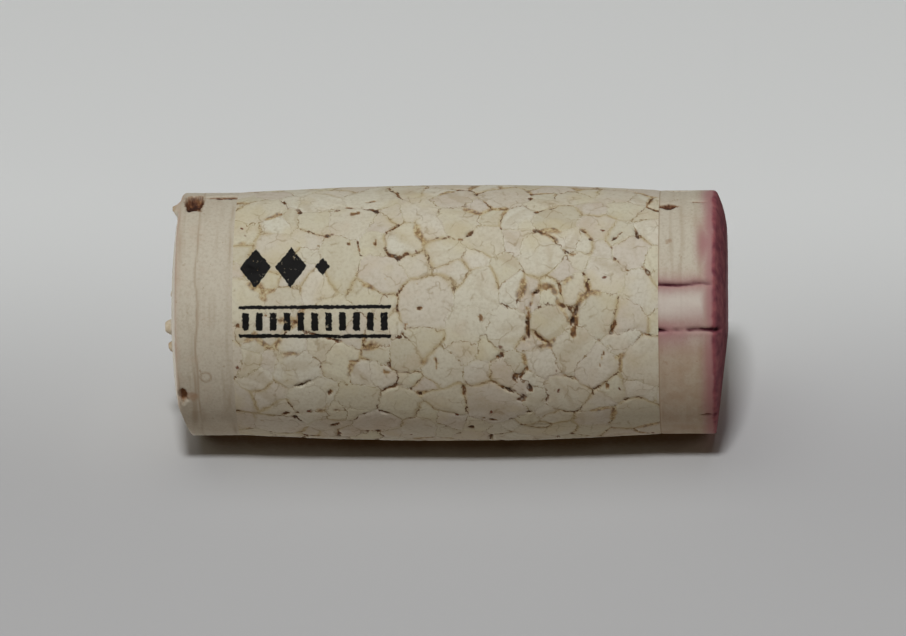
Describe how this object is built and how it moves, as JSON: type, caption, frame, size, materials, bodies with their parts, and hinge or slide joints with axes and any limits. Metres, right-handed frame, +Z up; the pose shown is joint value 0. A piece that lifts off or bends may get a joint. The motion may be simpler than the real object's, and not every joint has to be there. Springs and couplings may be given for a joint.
{
  "type": "wine cork",
  "caption": "Used wine cork: a barrel of pale glued cork granules between natural cork discs, stained by wine at one end, domed and torn by the corkscrew at the other.",
  "frame": {"origin": "centre of the flat standing face at the wine end", "axes": "+Z up the cork's axis to the dry end, -Y towards the front, +X to the right of the front"},
  "size_m": [0.0203, 0.0202, 0.0446],
  "materials": {
    "wine_stained_cork": "matte, pale cork wall stained maroon at the standing face",
    "agglomerated_cork": "matte, cut cork granules with brown seams",
    "natural_cork": "matte with a faint satin sheen"
  },
  "bodies": {
    "root": {"wine_end_disc": "wine_stained_cork", "agglomerate_body": "agglomerated_cork", "dry_end_disc": "natural_cork"}
  },
  "joints": []
}
